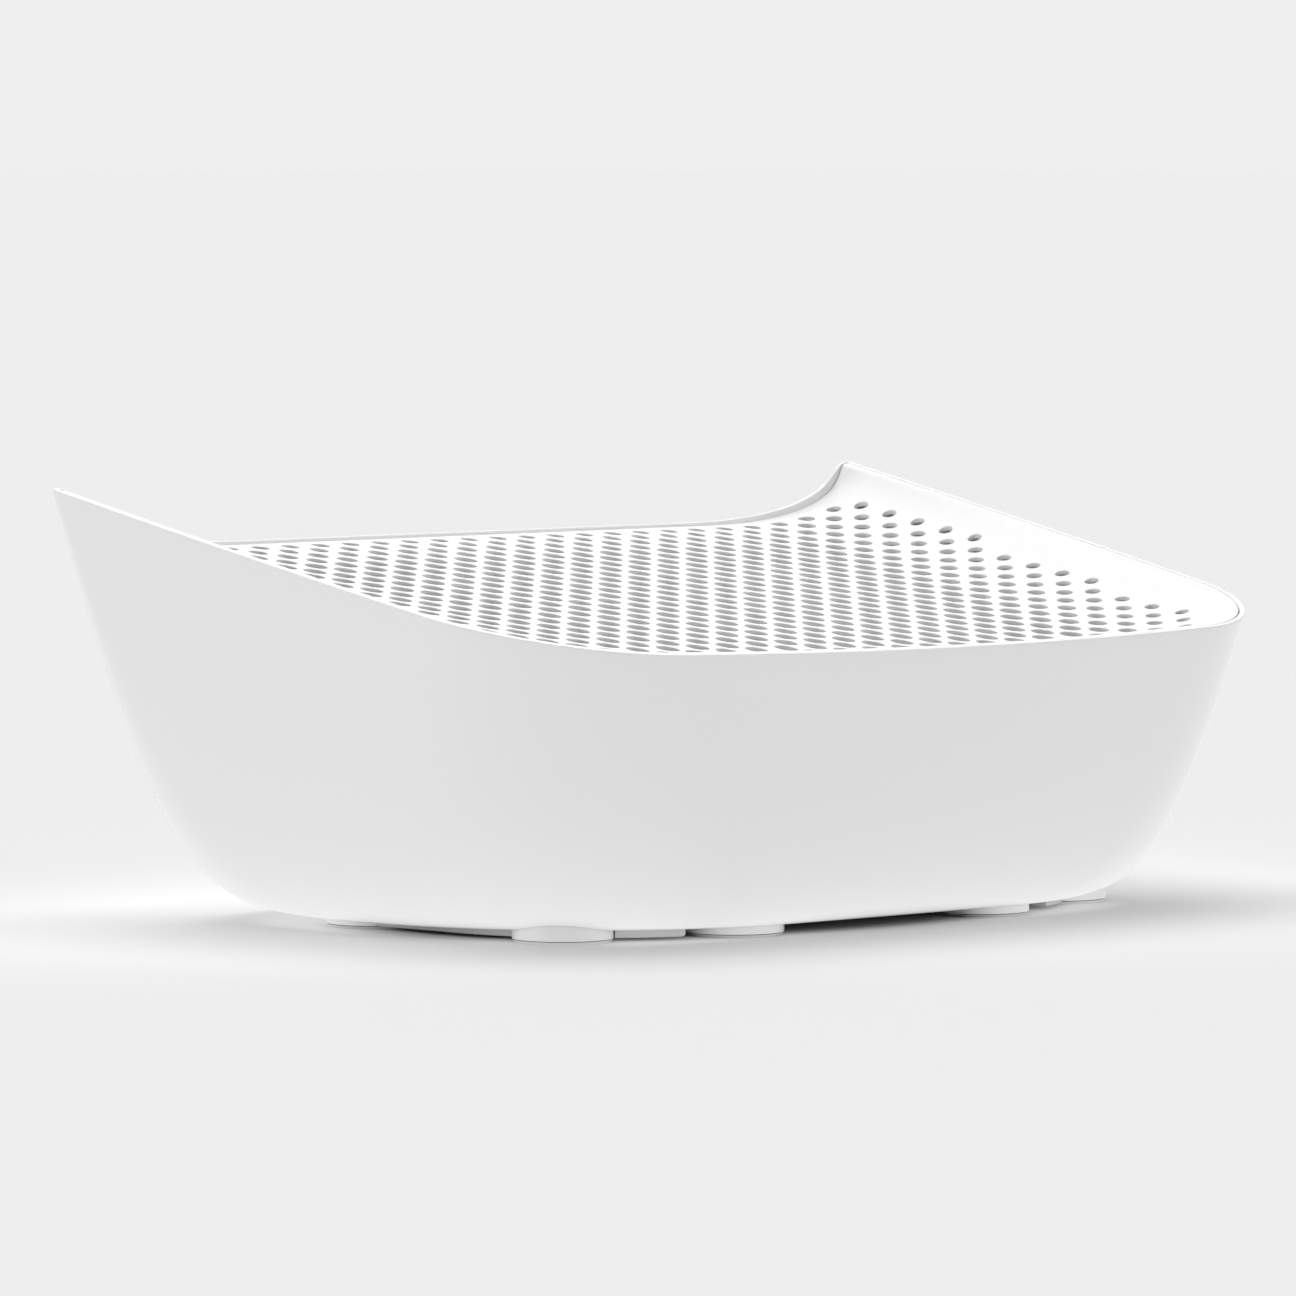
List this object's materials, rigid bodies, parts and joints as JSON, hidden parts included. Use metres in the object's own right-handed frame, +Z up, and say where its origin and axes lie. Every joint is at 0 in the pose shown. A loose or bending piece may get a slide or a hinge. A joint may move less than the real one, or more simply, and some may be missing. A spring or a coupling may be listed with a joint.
{
  "type": "litter box step tray",
  "caption": "Open tub with flared walls and a sloping rim on round feet, holding a sloping perforated deck that lifts out, to catch litter in front of a cat's litter box.",
  "frame": {"origin": "on the ground, under the middle of the tray's width and depth", "axes": "+X to the right, +Y to the rear, where the tray stands against the litter box, +Z up"},
  "size_m": [0.505, 0.319, 0.192],
  "materials": {
    "white_plastic": "satin",
    "deck_plastic": "satin",
    "foot_plastic": "satin",
    "pale_rubber": "matt",
    "steel": "plain"
  },
  "bodies": {
    "tub": {"outer_tub": "white_plastic", "foot_rear_right": "foot_plastic", "foot_middle_right": "foot_plastic", "foot_side_right": "foot_plastic", "foot_front_right": "foot_plastic", "foot_front_left": "foot_plastic", "foot_side_left": "foot_plastic", "foot_middle_left": "foot_plastic", "foot_rear_left": "foot_plastic", "foot_pad_rear_right": "pale_rubber", "foot_pad_middle_right": "pale_rubber", "foot_pad_side_right": "pale_rubber", "foot_pad_front_right": "pale_rubber", "foot_pad_front_left": "pale_rubber", "foot_pad_side_left": "pale_rubber", "foot_pad_middle_left": "pale_rubber", "foot_pad_rear_left": "pale_rubber", "foot_screw_rear_right": "steel", "foot_screw_middle_right": "steel", "foot_screw_side_right": "steel", "foot_screw_front_right": "steel", "foot_screw_front_left": "steel", "foot_screw_side_left": "steel", "foot_screw_middle_left": "steel", "foot_screw_rear_left": "steel", "grip_strip_side_right": "pale_rubber", "grip_strip_corner_right": "pale_rubber", "grip_strip_side_left": "pale_rubber", "grip_strip_corner_left": "pale_rubber"},
    "deck": {"sieve_deck": "deck_plastic"}
  },
  "joints": [
    {"name": "deck_lift", "type": "slide", "parent": "tub", "child": "deck", "axis": [0, 0, 1], "range_m": [0, 0.1]}
  ]
}
